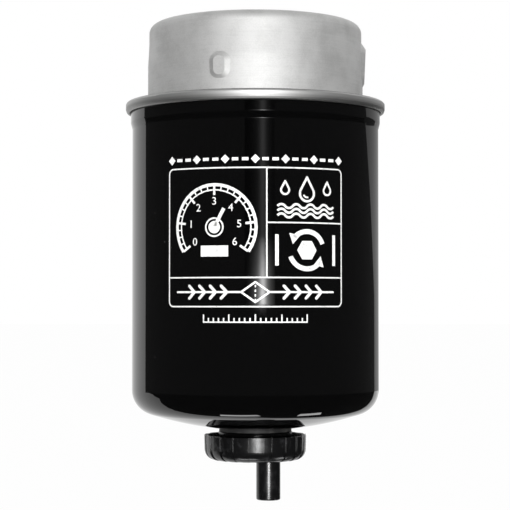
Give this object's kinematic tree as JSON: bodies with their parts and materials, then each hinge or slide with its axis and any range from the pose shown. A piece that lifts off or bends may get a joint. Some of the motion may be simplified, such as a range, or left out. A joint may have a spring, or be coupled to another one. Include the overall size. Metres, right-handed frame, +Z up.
{
  "type": "fuel water separator",
  "caption": "Keyed quick-change fuel filter and water separator cartridge with a steel collar, a black can and a screw-down drain valve.",
  "frame": {"origin": "on the cartridge axis in the plane of the collar's top face, inside the mouth grommet's bore", "axes": "+Z up along the cartridge axis, towards the header it hangs from; -Y is the printed front; +X is the right-hand side seen from the front"},
  "size_m": [0.086, 0.086, 0.1582],
  "materials": {
    "plated_steel": "satin zinc plate",
    "black_paint": "gloss black enamel",
    "rubber": "matt nitrile rubber",
    "sealing_compound": "matt",
    "black_plastic": "semi-gloss moulded nylon",
    "plastisol": "cured adhesive",
    "filter_paper": "resin-treated paper",
    "screen_fabric": "fine mesh",
    "spring_steel": "blued"
  },
  "bodies": {
    "housing": {"collar_cup": "plated_steel", "seam_seal": "sealing_compound", "can_shell": "black_paint", "mouth_grommet": "rubber", "top_end_cap": "plated_steel", "outlet_grommet": "rubber", "top_bond": "plastisol", "pleated_media": "filter_paper", "pleat_clip": "plated_steel", "centre_tube": "plated_steel", "water_screen": "screen_fabric", "bottom_bond": "plastisol", "bottom_end_cap": "plated_steel", "element_spring": "spring_steel", "neck_nut": "plated_steel", "neck_gasket": "rubber", "drain_neck": "black_plastic"},
    "stem_rings": {"stem_o_ring": "rubber", "plug_o_ring": "rubber"},
    "knob": {"drain_knob": "black_plastic"}
  },
  "joints": [
    {"name": "drain_drop", "type": "slide", "parent": "housing", "child": "stem_rings", "axis": [0, 0, -1], "range_m": [0, 0.0045]},
    {"name": "knob_turn", "type": "hinge", "parent": "stem_rings", "child": "knob", "pos_m": [0, 0, -0.1359], "axis": [0, 0, -1], "range_deg": [0, 540]}
  ],
  "couplings": [
    {"joint": "drain_drop", "follows": "knob_turn", "m_per_rad": 0.00047746}
  ]
}
